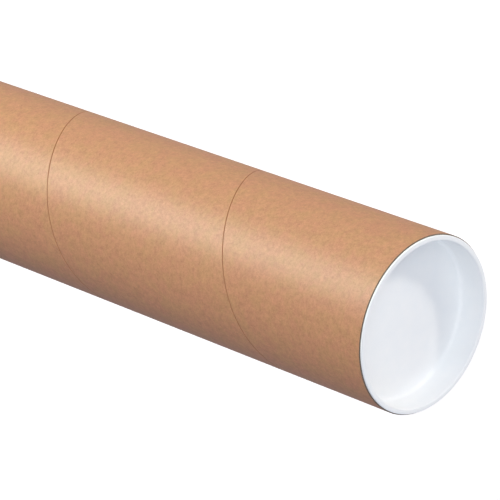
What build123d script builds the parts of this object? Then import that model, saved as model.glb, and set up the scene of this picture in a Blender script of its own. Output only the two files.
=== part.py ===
from build123d import *
import os

# A spiral-wound cardboard mailing tube, standing on end, with a push-in plastic cap in each end.
# Millimetres, +Z up. The origin is on the tube's axis, where the bottom cap's rim meets the ground.

# The tube: plies of paperboard glued into one wall, sold by its bore and its length (4 in by 24 in)
bore_diameter = 101.6
tube_wall = 2.03
tube_length = 609.6

# The caps: one plug with a flange, moulded twice. The plug is a deep dish that opens outwards.
fit_clearance = 0.05      # radial, between the plug and the bore, which in use are a tight push fit
flange_setback = 0.6      # the flange stops this far inside the tube's outside
flange_thickness = 1.3    # how far the rim stands beyond the tube's cut end
dish_depth = 17.0         # from the top of the rim down to the floor of the dish
floor_thickness = 1.4
plug_wall = 1.6           # wall of the plug at its mouth
outer_draft = 0.35        # the plug's outside is this much smaller in radius at its far end
inner_draft = 0.5         # and the dish this much smaller in radius at its floor

# Rounded edges of a cap
mouth_round = 0.8         # from the rim into the dish
rim_round = 0.6           # outer edge of the rim, on the top
rim_under_round = 0.5     # the same edge, on the side that faces the tube
dish_corner_round = 2.5   # where the wall of the dish meets its floor
lead_in_round = 2.6       # the leading edge, which starts the plug into the bore

# Worked out from the sizes above
bore_radius = bore_diameter / 2
tube_radius = bore_radius + tube_wall
plug_radius = bore_radius - fit_clearance
bottom_end = flange_thickness
top_end = bottom_end + tube_length


def make_tube():
    """The wall between two plain cut ends, open right through. One end is at z = 0."""
    with BuildPart() as tube:
        with BuildSketch():
            Circle(tube_radius)
            Circle(bore_radius, mode=Mode.SUBTRACT)
        extrude(amount=tube_length)
    return tube.part


def make_cap():
    """One cap, turned about Z from its half section: the tube's cut end is at z = 0, and outwards is up."""
    floor_top = flange_thickness - dish_depth
    floor_under = floor_top - floor_thickness
    mouth_radius = plug_radius - plug_wall
    flange_radius = tube_radius - flange_setback

    middle_top = (0, floor_top)
    dish_corner = (mouth_radius - inner_draft, floor_top)
    mouth = (mouth_radius, flange_thickness)
    rim = (flange_radius, flange_thickness)
    rim_under = (flange_radius, 0)
    seat = (plug_radius, 0)
    leading_edge = (plug_radius - outer_draft, floor_under)
    middle_under = (0, floor_under)

    with BuildPart() as cap:
        with BuildSketch(Plane.XZ):
            with BuildLine():
                FilletPolyline(
                    middle_top, dish_corner, mouth, rim, rim_under, seat,
                    radius=[dish_corner_round, mouth_round, rim_round, rim_under_round],
                )
                FilletPolyline(seat, leading_edge, middle_under, radius=lead_in_round)
                Line(middle_under, middle_top)
            make_face()
        revolve(axis=Axis.Z)
    return cap.part


cap = make_cap()
nodes = {
    "tube": Pos(0, 0, bottom_end) * make_tube(),
    "top_cap": Pos(0, 0, top_end) * cap,
    "bottom_cap": Pos(0, 0, bottom_end) * Rot(180, 0, 0) * cap,
}

os.makedirs("parts", exist_ok=True)
for name, part in nodes.items():
    export_step(part, f"parts/{name}.step")
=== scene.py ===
import bpy
import numpy as np
from mathutils import Matrix, Vector


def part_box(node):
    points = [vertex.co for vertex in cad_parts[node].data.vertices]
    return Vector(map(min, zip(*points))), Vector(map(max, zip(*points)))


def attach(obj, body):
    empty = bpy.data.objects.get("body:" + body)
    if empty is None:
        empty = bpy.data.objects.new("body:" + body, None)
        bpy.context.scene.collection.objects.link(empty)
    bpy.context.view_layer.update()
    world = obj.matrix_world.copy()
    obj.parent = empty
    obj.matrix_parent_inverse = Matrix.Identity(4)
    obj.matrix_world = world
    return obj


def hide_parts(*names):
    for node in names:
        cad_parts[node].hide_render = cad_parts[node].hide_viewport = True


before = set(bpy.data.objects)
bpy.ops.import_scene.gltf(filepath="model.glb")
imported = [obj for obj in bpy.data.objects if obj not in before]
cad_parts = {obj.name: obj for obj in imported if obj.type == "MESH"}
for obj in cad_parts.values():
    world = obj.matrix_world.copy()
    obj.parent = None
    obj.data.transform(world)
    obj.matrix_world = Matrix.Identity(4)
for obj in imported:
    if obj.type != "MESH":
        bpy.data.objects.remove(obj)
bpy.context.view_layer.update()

# ---------------------------------------------------------------------------------------------
# The tube's wall. Strips of paperboard are wound in a spiral round a steel mandrel, each half
# over the last, glued into one wall and cut to length. The last strip is smooth brown liner, and
# its two edges meet in one fine open seam that climbs the tube.
# ---------------------------------------------------------------------------------------------
mm = 0.001
turn = 2 * np.pi
same_point = 1e-8                 # metres: points closer than this are one point

tube_low, tube_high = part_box("tube")
bottom_cut, top_cut = tube_low[2], tube_high[2]
outer_radius = tube_high[0]
bore_radius = 50.8 * mm
cut_corner = 0.15 * mm            # the saw leaves the corner of the cut a little soft
stops = np.array([bottom_cut + cut_corner, top_cut - cut_corner])   # where the wound surfaces end

outside_climb = 151.1 * mm        # how far the outside seam climbs in one turn
outside_seam = np.radians(182)    # azimuth at which it runs out at the top end
bore_climb = 118.0 * mm           # the innermost strip is narrower, so its seam climbs less
bore_seam = np.radians(64)
seam_half_gap = 0.25 * mm
seam_depth = 0.34 * mm            # as thick as the liner
edge_dip = 0.05 * mm              # how far the paper's edge bends down into the seam,
edge_dip_reach = 0.25 * mm        # and how fast that dies away from it
edge_rows = np.array([0.33, 0.45, 0.9, 2.5]) * mm   # rows of points beside the gap
middle_rows = 7
column_step = turn / 180          # azimuth from one even column of points to the next
least_column_step = 0.3 * column_step

glue_lines = np.array([0.36, 0.78, 1.2, 1.62]) * mm   # depths below the outside, seen on the cut
crease_half_width = 0.04 * mm
crease_depth = 0.07 * mm


def strip_lean(climb, radius):
    """Angle between a strip and the level: its tangent is the climb over the way round."""
    return np.arctan2(climb, turn * radius)


def seam_rows(climb, radius):
    """Distances across one strip, from seam to seam: close together at each edge, where the gap
    is, and even between. Returns them and the strip's width, which is the climb times the cosine
    of the lean."""
    width = climb * np.cos(strip_lean(climb, radius))
    edge = np.array([0, seam_half_gap, *edge_rows])
    middle = np.linspace(0, width, middle_rows + 2)[1:-1]
    return np.concatenate([edge, middle, width - edge[:0:-1]]), width


def seam_sink(across, width):
    """How deep the surface lies below the full radius, by the distance across the strip: the
    gap's floor, then a bent paper edge that dies away exponentially."""
    off = np.minimum(across, width - across)
    edge = edge_dip * np.exp(-(off - seam_half_gap) / edge_dip_reach)
    return np.where(off < seam_half_gap - same_point, seam_depth, edge)


def seam_height(azimuth, climb, seam):
    """Height of the lowest turn of the seam. It rises by one climb in a turn, starts below the
    bottom cut and, some turns further up, meets the top cut at the azimuth called seam."""
    turns = np.ceil((top_cut - bottom_cut) / climb) + 1
    return top_cut + climb * ((azimuth - seam) / turn - turns)


def cut_azimuths(climb, seam, radius):
    """Where each row of a wound surface runs into each of the two cuts: the azimuth at which the
    row's height equals the cut's."""
    rise = seam_rows(climb, radius)[0] / np.cos(strip_lean(climb, radius))
    return np.concatenate([(seam + turn * (stop - top_cut - rise) / climb) % turn for stop in stops])


def shared_columns():
    """Azimuths of the wall's columns: each place where a row of either surface meets a cut, and
    an even set that leaves out what would come too close to one of those."""
    exact = np.sort(np.concatenate([
        cut_azimuths(outside_climb, outside_seam, outer_radius),
        cut_azimuths(bore_climb, bore_seam, bore_radius),
    ]))
    exact = exact[np.diff(exact, append=exact[0] + turn) > same_point / bore_radius]
    even = np.arange(0, turn - column_step / 2, column_step)
    nearest = np.abs((even[:, None] - exact[None] + np.pi) % turn - np.pi).min(axis=1)
    return np.sort(np.concatenate([exact, even[nearest > least_column_step]]))


def wound_surface(columns, radius, climb, seam, side, first):
    """A cylinder as one strip winds it, on a grid of azimuth by distance across the strip. Height
    is the seam's height plus the distance over the cosine of the lean, stopped at each cut. The
    radius gives way to the seam: inwards on the outside, where side is 1, and outwards in the
    bore, where it is -1. Returns the points, which are numbered from first on and begin with the
    bottom and the top ring, the faces, each face corner's place on the flat strip, and the rings."""
    rows, width = seam_rows(climb, radius)
    lean = strip_lean(climb, radius)
    count, per_turn = len(columns), len(rows)
    turns = int(np.ceil((top_cut - bottom_cut) / climb)) + 3
    rise = (np.arange(turns)[:, None] * climb + rows[None] / np.cos(lean)).ravel()
    azimuth = np.append(columns, columns[0] + turn)
    start = seam_height(azimuth, climb, seam)
    free = start[:, None] + rise[None]
    height = np.clip(free, *stops)
    across = (height - start[:, None]) * np.cos(lean)

    # every point past a cut becomes the one point of its column on that cut's ring
    rings = first + np.arange(2 * count).reshape(2, count)
    below, above = free[:-1] < stops[0] + same_point, free[:-1] > stops[1] - same_point
    ids = np.where(below, rings[0][:, None], rings[1][:, None])
    between = ~(below | above)
    ids[between] = first + 2 * count + np.arange(between.sum())

    def placed(angle, z, over):
        reach = radius - side * seam_sink(over % width, width)
        return np.stack([reach * np.cos(angle), reach * np.sin(angle), z], axis=-1)

    ends = stops[:, None] + 0 * columns[None]
    ring_points = placed(columns[None], ends, (ends - start[None, :-1]) * np.cos(lean))
    angles = np.broadcast_to(columns[:, None], between.shape)[between]
    body = placed(angles, height[:-1][between], across[:-1][between])
    points = np.concatenate([ring_points.reshape(-1, 3), body])

    # one turn on, the first column stands one strip higher, and there it closes the surface
    closing = np.full((1, len(rise)), -1)
    closing[0, :-per_turn] = ids[0, per_turn:]
    ids = np.concatenate([ids, closing])
    quads = np.stack([ids[:-1, :-1], ids[1:, :-1], ids[1:, 1:], ids[:-1, 1:]], axis=-1)

    along = radius * azimuth[:, None] / np.cos(lean) + across * np.tan(lean)
    flat = np.stack([along, across], axis=-1)
    flat = np.stack([flat[:-1, :-1], flat[1:, :-1], flat[1:, 1:], flat[:-1, 1:]], axis=-2)
    strips_below = np.arange(len(rise) - 1) // per_turn
    flat[..., 1] -= (strips_below * width)[None, :, None]

    open_sided = (quads[..., 0] != quads[..., 3]) | (quads[..., 1] != quads[..., 2])
    whole = (quads >= 0).all(axis=-1) & open_sided
    quads, flat = quads[whole], flat[whole]
    if side < 0:
        quads, flat = quads[:, ::-1], flat[:, ::-1]
    return points, quads, flat, rings


def cut_end(columns, outer_ring, inner_ring, outer_reach, inner_reach, cut, up, first):
    """The sawn face between two rings: circles of points at the cut's height, with a fine crease
    at each glue line. The outermost and innermost circles give way where a seam notches the edge.
    up is 1 at the top end and -1 at the bottom."""
    creases = glue_lines[:, None] + crease_half_width * np.array([-1, 0, 1])
    radii = np.concatenate([
        [outer_radius - cut_corner], outer_radius - creases.ravel(), [bore_radius + cut_corner],
    ])
    sunk = np.concatenate([[0], np.tile([0, crease_depth, 0], len(glue_lines)), [0]])
    reach = np.repeat(radii[:, None], len(columns), axis=1)
    reach[0] = np.minimum(reach[0], outer_reach - cut_corner / 2)
    reach[-1] = np.maximum(reach[-1], inner_reach + cut_corner / 2)
    z = np.broadcast_to((cut - up * sunk)[:, None], reach.shape)
    points = np.stack([reach * np.cos(columns), reach * np.sin(columns), z], axis=-1).reshape(-1, 3)

    ids = first + np.arange(len(points)).reshape(reach.shape)
    ids = np.concatenate([outer_ring[None], ids, inner_ring[None]])
    ahead = np.roll(ids, -1, axis=1)
    quads = np.stack([ids[:-1], ahead[:-1], ahead[1:], ids[1:]], axis=-1).reshape(-1, 4)
    return points, quads[:, ::up]


def without_repeats(quads, flat):
    """Face lists for a mesh, in which a quad with a corner named twice becomes a triangle."""
    new = quads != np.roll(quads, 1, axis=1)
    return [list(quad[kept]) for quad, kept in zip(quads, new)], flat[new]


def add_mesh(name, points, faces, corners=None):
    """A mesh object at the origin, smooth but for creases sharper than 35 degrees. corners gives
    each face corner's place for a UV map called strip."""
    mesh = bpy.data.meshes.new(name)
    mesh.from_pydata(points.tolist(), [], faces)
    mesh.update()
    if corners is not None:
        mesh.uv_layers.new(name="strip").uv.foreach_set("vector", corners.astype(np.float32).ravel())
    mesh.shade_smooth()
    mesh.set_sharp_from_angle(angle=np.radians(35))
    piece = bpy.data.objects.new(name, mesh)
    bpy.context.scene.collection.objects.link(piece)
    return piece


def make_wall():
    """The two wound surfaces and the two cut ends between them, as one closed shell with three
    finishes: 0 for the outside, 1 for the bore and 2 for the cuts."""
    columns = shared_columns()
    out_points, out_quads, out_flat, out_rings = wound_surface(
        columns, outer_radius, outside_climb, outside_seam, 1, 0)
    in_points, in_quads, in_flat, in_rings = wound_surface(
        columns, bore_radius, bore_climb, bore_seam, -1, len(out_points))
    points = np.concatenate([out_points, in_points])
    quads = [out_quads, in_quads]
    reach = np.hypot(points[:, 0], points[:, 1])
    ends = zip(out_rings, in_rings, (bottom_cut, top_cut), (-1, 1))
    for outer_ring, inner_ring, cut, up in ends:
        end_points, end_quads = cut_end(
            columns, outer_ring, inner_ring, reach[outer_ring], reach[inner_ring], cut, up, len(points))
        points = np.concatenate([points, end_points])
        quads.append(end_quads)
    finish = np.repeat([0, 1, 2, 2], [len(q) for q in quads])
    flats = [out_flat, in_flat, *(np.zeros((len(q), 4, 2)) for q in quads[2:])]
    faces, corners = without_repeats(np.concatenate(quads), np.concatenate(flats))
    piece = add_mesh("wound_tube", points, faces, corners)
    piece.data.polygons.foreach_set("material_index", finish.astype(np.int32))
    return piece


wall = make_wall()
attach(wall, "tube")
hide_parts("tube")


def linear(code):
    """An sRGB hex colour as linear RGBA."""
    part = np.array([int(code[i:i + 2], 16) for i in (1, 3, 5)]) / 255
    return (*np.where(part <= 0.04045, part / 12.92, ((part + 0.055) / 1.055) ** 2.4), 1.0)


def node(tree, kind, settings=None, **links):
    """Adds a node, sets its properties and inputs from settings, and links its inputs to other
    nodes' outputs. An input is named by its label, with spaces as underscores in a link, or by
    its number after an i."""
    made = tree.nodes.new(kind)

    def socket(name):
        if name[0] == "i" and name[1:].isdigit():
            return made.inputs[int(name[1:])]
        return made.inputs[name.replace("_", " ")]

    for name, value in (settings or {}).items():
        if hasattr(made, name):
            setattr(made, name, value)
        else:
            socket(name).default_value = value
    for name, source in links.items():
        tree.links.new(source, socket(name))
    return made


def material(name):
    """A node material of that name, with its tree and its Principled shader."""
    made = bpy.data.materials.new(name)
    made.use_nodes = True
    return made, made.node_tree, made.node_tree.nodes["Principled BSDF"]


def brown_liner():
    """Unbleached kraft linerboard, calendered smooth. It is mottled at every scale where the pulp
    lay thicker, redder and yellower in patches, with a few dark fibre bundles along the strip. In
    the seam it is darkened, partly as glue stain and partly as painted shade of the open gap, and
    it has a low satin sheen."""
    made, tree, shader = material("kraft_linerboard")
    place = node(tree, "ShaderNodeTexCoord").outputs["Object"]
    strip = node(tree, "ShaderNodeUVMap", {"uv_map": "strip"}).outputs["UV"]
    lengthwise = node(tree, "ShaderNodeMapping", {"Scale": (0.22, 1, 1)}, Vector=strip).outputs["Vector"]

    # pulp clumps of 3 mm and every smaller size down to a single fibre's width
    pulp = node(tree, "ShaderNodeTexNoise", {"Scale": 1 / (3.2 * mm), "Detail": 4, "Roughness": 1},
                Vector=place)
    tone = node(tree, "ShaderNodeValToRGB", {}, Fac=pulp.outputs["Fac"])
    ramp = tone.color_ramp
    ramp.elements[0].position, ramp.elements[0].color = 0.3, linear("#9C7156")
    ramp.elements[1].position, ramp.elements[1].color = 0.7, linear("#C18E6D")

    # redder and yellower patches, 12 mm across and smaller
    warmth = node(tree, "ShaderNodeTexNoise", {"Scale": 1 / (12 * mm), "Detail": 4, "Roughness": 0.75},
                  Vector=place)
    tint = node(tree, "ShaderNodeValToRGB", {}, Fac=warmth.outputs["Fac"])
    ramp = tint.color_ramp
    ramp.elements[0].position, ramp.elements[0].color = 0.4, linear("#FFF8F7")
    ramp.elements[1].position, ramp.elements[1].color = 0.6, linear("#FBFFF1")
    tinted = node(tree, "ShaderNodeMix", {"data_type": "RGBA", "blend_type": "MULTIPLY", "i0": 1},
                  i6=tone.outputs["Color"], i7=tint.outputs["Color"])

    # bundles of fibre are a tenth of a millimetre wide, drawn here at 0.8 mm so that they show
    bundles = node(tree, "ShaderNodeTexNoise", {"Scale": 1 / (0.8 * mm), "Detail": 1}, Vector=lengthwise)
    sparse = node(tree, "ShaderNodeMapRange", {"From Min": 0.66, "From Max": 0.76, "To Max": 0.35},
                  Value=bundles.outputs["Fac"])
    fibred = node(tree, "ShaderNodeMix", {"data_type": "RGBA", "i7": linear("#8A5B3C")},
                  i0=sparse.outputs["Result"], i6=tinted.outputs[2])

    # glue stain and painted shade in the open seam, by the distance from it across the strip
    across = node(tree, "ShaderNodeSeparateXYZ", {}, Vector=strip).outputs["Y"]
    half_strip = seam_rows(outside_climb, outer_radius)[1] / 2
    off_seam = node(tree, "ShaderNodeMath", {"operation": "PINGPONG", "i1": half_strip}, i0=across)
    glue_and_shade_range = {"From Min": 0.24 * mm, "From Max": 0.38 * mm, "To Min": 1, "To Max": 0}
    glue_and_painted_shade = node(tree, "ShaderNodeMapRange", glue_and_shade_range, Value=off_seam.outputs[0])
    whole = node(tree, "ShaderNodeMix", {"data_type": "RGBA", "i7": linear("#98643F")},
                 i0=glue_and_painted_shade.outputs["Result"], i6=fibred.outputs[2])
    tree.links.new(whole.outputs[2], shader.inputs["Base Color"])

    shader.inputs["Roughness"].default_value = 0.45
    shader.inputs["IOR"].default_value = 1.44
    bump = node(tree, "ShaderNodeBump", {"Strength": 0.15, "Distance": 0.05 * mm},
                Height=pulp.outputs["Fac"])
    tree.links.new(bump.outputs["Normal"], shader.inputs["Normal"])
    return made


def grey_chipboard():
    """Recycled paperboard, which the bore and the plies beneath the liner are made of. It is dull
    and grey-brown, with flecks of the old pulp 1.5 mm across and smaller."""
    made, tree, shader = material("grey_chipboard")
    place = node(tree, "ShaderNodeTexCoord").outputs["Object"]
    flecks = node(tree, "ShaderNodeTexNoise", {"Scale": 1 / (1.5 * mm), "Detail": 4, "Roughness": 0.7},
                  Vector=place)
    tone = node(tree, "ShaderNodeValToRGB", {}, Fac=flecks.outputs["Fac"])
    ramp = tone.color_ramp
    ramp.elements[0].position, ramp.elements[0].color = 0.3, linear("#8B7660")
    ramp.elements[1].position, ramp.elements[1].color = 0.7, linear("#AD9881")
    tree.links.new(tone.outputs["Color"], shader.inputs["Base Color"])
    shader.inputs["Roughness"].default_value = 0.85
    return made


def sawn_board():
    """The plies cut across: torn fibre in tufts of 0.6 mm, rough, and coloured much darker than
    the flat of the board. The darkness is partly the board's own grey and partly painted shade, for
    the light that the torn fibre and the crevice under the cap's flange hold back."""
    made, tree, shader = material("sawn_paperboard")
    place = node(tree, "ShaderNodeTexCoord").outputs["Object"]
    fuzz = node(tree, "ShaderNodeTexNoise", {"Scale": 1 / (0.6 * mm), "Detail": 4, "Roughness": 0.7},
                Vector=place)
    tone = node(tree, "ShaderNodeValToRGB", {}, Fac=fuzz.outputs["Fac"])
    # the dark ends of this ramp are partly painted shade, of the torn fibre and the crevice under the
    # flange
    ramp = tone.color_ramp
    ramp.elements[0].position, ramp.elements[0].color = 0.3, linear("#5F5348")
    ramp.elements[1].position, ramp.elements[1].color = 0.7, linear("#857565")
    tree.links.new(tone.outputs["Color"], shader.inputs["Base Color"])
    shader.inputs["Roughness"].default_value = 0.9
    return made


for board in (brown_liner(), grey_chipboard(), sawn_board()):
    wall.data.materials.append(board)

# ---------------------------------------------------------------------------------------------
# The two caps. Each is one thin dish of white low-density polyethylene, injection moulded, that is
# pushed into the bore until its flange meets the cut. It opens outwards, so a finger can hook it.
# ---------------------------------------------------------------------------------------------
cap_low, cap_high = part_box("top_cap")
flange_thickness = cap_high[2] - top_cut
flange_radius = cap_high[0]
plug_depth = top_cut - cap_low[2]
fit_clearance = 0.05 * mm         # radial, between the plug and the bore
plug_radius = bore_radius - fit_clearance
plug_wall = 1.6 * mm
floor_thickness = 1.4 * mm
outer_draft = 0.35 * mm           # how much the plug narrows towards its floor, outside
inner_draft = 0.5 * mm            # and inside
dish_corner_round = 2.5 * mm
mouth_round = 0.8 * mm
rim_round = 0.6 * mm
rim_under_round = 0.5 * mm
lead_in_round = 2.6 * mm
cap_columns = 240                 # points round each circle


def rounded(outline, radii, steps=8):
    """Carries an outline of (radius, height) corners through arcs: a corner of radius r gives way
    to the circle that touches both its sides, in steps even turns, and one of radius 0 stays."""
    points = [outline[0]]
    for before, corner, after, radius in zip(outline, outline[1:], outline[2:], radii):
        before, corner, after = (np.array(place, float) for place in (before, corner, after))
        if radius == 0:
            points.append(corner)
            continue
        back, ahead = before - corner, after - corner
        back, ahead = back / np.hypot(*back), ahead / np.hypot(*ahead)
        half = np.arccos(back @ ahead) / 2
        inwards = (back + ahead) / np.hypot(*(back + ahead))
        centre = corner + inwards * radius / np.sin(half)
        touching = (corner + back * radius / np.tan(half), corner + ahead * radius / np.tan(half))
        begin, end = (np.arctan2(*(place - centre)[::-1]) for place in touching)
        swing = (end - begin + np.pi) % turn - np.pi
        arc = begin + swing * np.linspace(0, 1, steps + 1)
        points.extend(centre + radius * np.stack([np.cos(arc), np.sin(arc)], axis=-1))
    points.append(outline[-1])
    return np.array(points, float)


def cap_profile():
    """Half section of the cap, heights from the tube's cut and outwards up: from the middle of the
    dish over its mouth and rim, back under the flange, down the plug and in to the middle. Both
    sides of the floor are divided twice, to keep their faces short."""
    dish_floor = floor_thickness - plug_depth
    mouth = plug_radius - plug_wall
    inner_circle, outer_circle = 0.3 * mouth, 0.6 * mouth
    # radius, height and rounding of each corner
    corners = [
        (0, dish_floor, 0),
        (inner_circle, dish_floor, 0),
        (outer_circle, dish_floor, 0),
        (mouth - inner_draft, dish_floor, dish_corner_round),
        (mouth, flange_thickness, mouth_round),
        (flange_radius, flange_thickness, rim_round),
        (flange_radius, 0, rim_under_round),
        (plug_radius, 0, 0),
        (plug_radius - outer_draft, -plug_depth, lead_in_round),
        (outer_circle, -plug_depth, 0),
        (inner_circle, -plug_depth, 0),
        (0, -plug_depth, 0),
    ]
    return rounded([corner[:2] for corner in corners], [corner[2] for corner in corners[1:-1]])


def make_cap(name, cut, up):
    """Turns the half section once round the axis. Both its ends lie on the axis, where one vertex
    closes each. up is 1 for the top cap and -1 for the bottom one, which is the same upside down."""
    profile = cap_profile()
    azimuth = np.linspace(0, turn, cap_columns, endpoint=False)
    reach, height = profile[1:-1, 0], profile[1:-1, 1]
    points = np.stack([
        reach[:, None] * np.cos(azimuth),
        reach[:, None] * np.sin(azimuth),
        np.broadcast_to(cut + up * height[:, None], (len(reach), cap_columns)),
    ], axis=-1).reshape(-1, 3)
    poles = [(0, 0, cut + up * profile[0, 1]), (0, 0, cut + up * profile[-1, 1])]
    points = np.concatenate([points, poles])
    ids = np.arange(len(reach) * cap_columns).reshape(len(reach), cap_columns)
    ahead = np.roll(ids, -1, axis=1)
    quads = np.stack([ids[:-1], ids[1:], ahead[1:], ahead[:-1]], axis=-1).reshape(-1, 4)
    dish = np.stack([np.full(cap_columns, len(points) - 2), ids[0], ahead[0]], axis=-1)
    under = np.stack([np.full(cap_columns, len(points) - 1), ahead[-1], ids[-1]], axis=-1)
    faces = [*quads[:, ::up].tolist(), *dish[:, ::up].tolist(), *under[:, ::up].tolist()]
    return add_mesh(name, points, faces)


def white_polyethylene():
    """Low-density polyethylene with white pigment, injection moulded: slightly cool, waxy and
    matt. The surface waves faintly, about every 9 mm, where it shrank as it cooled, and fine
    scuffs from handling break up its sheen."""
    made, tree, shader = material("white_polyethylene")
    place = node(tree, "ShaderNodeTexCoord").outputs["Object"]
    cloud = node(tree, "ShaderNodeTexNoise", {"Scale": 1 / (9 * mm), "Detail": 3, "Roughness": 0.6},
                 Vector=place)
    tone = node(tree, "ShaderNodeValToRGB", {}, Fac=cloud.outputs["Fac"])
    ramp = tone.color_ramp
    ramp.elements[0].position, ramp.elements[0].color = 0.3, linear("#EBEFF1")
    ramp.elements[1].position, ramp.elements[1].color = 0.7, linear("#EEF1F2")
    tree.links.new(tone.outputs["Color"], shader.inputs["Base Color"])
    shader.inputs["IOR"].default_value = 1.51

    # scuffs are a few hundredths of a millimetre wide, drawn here at 0.9 mm so that they show
    stretched = node(tree, "ShaderNodeMapping", {"Rotation": (0, 0, 0.6), "Scale": (1, 0.12, 1)},
                     Vector=place)
    scuffs = node(tree, "ShaderNodeTexNoise", {"Scale": 1 / (0.9 * mm), "Detail": 2},
                  Vector=stretched.outputs["Vector"])
    dulling = {"From Min": 0.35, "From Max": 0.65, "To Min": 0.6, "To Max": 0.74}
    dulled = node(tree, "ShaderNodeMapRange", dulling, Value=scuffs.outputs["Fac"])
    tree.links.new(dulled.outputs["Result"], shader.inputs["Roughness"])
    waves = node(tree, "ShaderNodeBump", {"Strength": 0.35, "Distance": 0.12 * mm},
                 Height=cloud.outputs["Fac"])
    marks = node(tree, "ShaderNodeBump", {"Strength": 0.1, "Distance": 0.02 * mm},
                 Height=scuffs.outputs["Fac"], Normal=waves.outputs["Normal"])
    tree.links.new(marks.outputs["Normal"], shader.inputs["Normal"])
    return made


polyethylene = white_polyethylene()
for cap_name, cap_cut, cap_up in (("top_plug", top_cut, 1), ("bottom_plug", bottom_cut, -1)):
    cap = make_cap(cap_name, cap_cut, cap_up)
    cap_node = cap_name.replace("plug", "cap")
    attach(cap, cap_node)
    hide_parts(cap_node)
    cap.data.materials.append(polyethylene)

# ---------------------------------------------------------------------------------------------
# The studio: a light table of white acrylic, whose edge turns up into a white wall on all sides.
# Lamps stand over it and under it, and it lets those under it through. The camera comes last.
# ---------------------------------------------------------------------------------------------
table_radius = 14                 # metres, as all sizes in this section are
bend_radius = 5
wall_top = 10
bend_steps = 12
table_columns = 64                # points round each circle
lamp_distance = 1.6               # from each lamp to the top end


def make_table():
    """A profile of (radius, height) turned once round the axis: flat from the middle, a quarter
    circle upwards, then the wall."""
    bend = np.linspace(0, turn / 4, bend_steps)
    reach = np.append(table_radius + bend_radius * np.sin(bend), table_radius + bend_radius)
    height = np.append(bend_radius * (1 - np.cos(bend)), wall_top)
    azimuth = np.linspace(0, turn, table_columns, endpoint=False)
    points = np.stack([
        reach[:, None] * np.cos(azimuth),
        reach[:, None] * np.sin(azimuth),
        height[:, None] + 0 * azimuth,
    ], axis=-1).reshape(-1, 3)
    ids = np.arange(len(points)).reshape(len(reach), table_columns)
    ahead = np.roll(ids, -1, axis=1)
    sides = np.stack([ids[:-1], ids[1:], ahead[1:], ahead[:-1]], axis=-1).reshape(-1, 4)
    return add_mesh("light_table", points, [*sides.tolist(), ids[0].tolist()])


def white_acrylic():
    """Opal acrylic sheet lit from beneath, matt and white. It glows more towards the wall, where
    the lamps above it don't reach."""
    made, tree, shader = material("opal_acrylic")
    place = node(tree, "ShaderNodeTexCoord").outputs["Object"]
    away = node(tree, "ShaderNodeVectorMath", {"operation": "LENGTH"}, i0=place)
    brightening = {"From Min": 0.9, "From Max": 2.6, "To Min": 0.38, "To Max": 0.8}
    glow = node(tree, "ShaderNodeMapRange", brightening, Value=away.outputs["Value"])
    tree.links.new(glow.outputs["Result"], shader.inputs["Emission Strength"])
    shader.inputs["Emission Color"].default_value = linear("#FFFFFF")
    shader.inputs["Base Color"].default_value = linear("#F2F2F2")
    shader.inputs["Roughness"].default_value = 0.9
    shader.inputs["Specular IOR Level"].default_value = 0
    return made


light_table = make_table()
light_table.data.materials.append(white_acrylic())
light_table.visible_diffuse = light_table.visible_glossy = light_table.visible_shadow = False

room = bpy.data.worlds.new("room")
room.use_nodes = True
room_light = room.node_tree.nodes["Background"]
room_light.inputs["Color"].default_value = linear("#F3EEFF")
room_light.inputs["Strength"].default_value = 0.38
bpy.context.scene.world = room
bpy.context.scene.view_settings.view_transform = "Standard"


def softbox(name, azimuth, elevation, width, height, watts, colour):
    """An area lamp that faces the top end from that direction, in degrees. It isn't seen itself."""
    around, up = np.radians([azimuth, elevation])
    toward = Vector((np.cos(around) * np.cos(up), np.sin(around) * np.cos(up), np.sin(up)))
    lamp = bpy.data.lights.new(name, "AREA")
    lamp.shape, lamp.size, lamp.size_y = "RECTANGLE", width, height
    lamp.energy, lamp.color = watts, linear(colour)[:3]
    held = bpy.data.objects.new(name, lamp)
    held.location = Vector((0, 0, top_cut)) + toward * lamp_distance
    held.rotation_mode = "QUATERNION"
    held.rotation_quaternion = toward.to_track_quat("Z", "Y")
    held.visible_camera = False
    bpy.context.scene.collection.objects.link(held)


# name, azimuth and elevation, width and height, power and colour
softbox("key", 167, 28.5, 0.3, 0.17, 8.3, "#FFF3E5")
softbox("beside_key", 135, 12, 1, 1, 5.2, "#FFFDED")
softbox("overhead", 262, 45, 2.2, 1, 16.8, "#FCFFFF")
softbox("far_side", 30, 35, 1.8, 1.2, 5.1, "#E7F9FF")
softbox("under_table", 255, -40, 0.7, 1.2, 24.5, "#F7FDED")
softbox("low_left", 205, -12, 0.7, 0.7, 4.6, "#E7FFE7")

# The camera looks down past the top end, and is rolled so that the tube runs to the upper left.
view = bpy.data.cameras.new("view")
view.lens = 230.25
view.clip_start, view.clip_end = 0.05, 200
camera = bpy.data.objects.new("camera", view)
camera_back = outer_radius * 26.743
camera_above_cut = outer_radius * 20.930
look_down, heading, roll = np.radians([41.431, 0.242, 110.036])
aim = (
    Matrix.Rotation(heading, 3, "Z")
    @ Matrix.Rotation(turn / 4 - look_down, 3, "X")
    @ Matrix.Rotation(roll, 3, "Z")
)
camera.location = (0, -camera_back, top_cut + camera_above_cut)
camera.rotation_mode = "QUATERNION"
camera.rotation_quaternion = aim.to_quaternion()
bpy.context.scene.collection.objects.link(camera)
bpy.context.scene.camera = camera
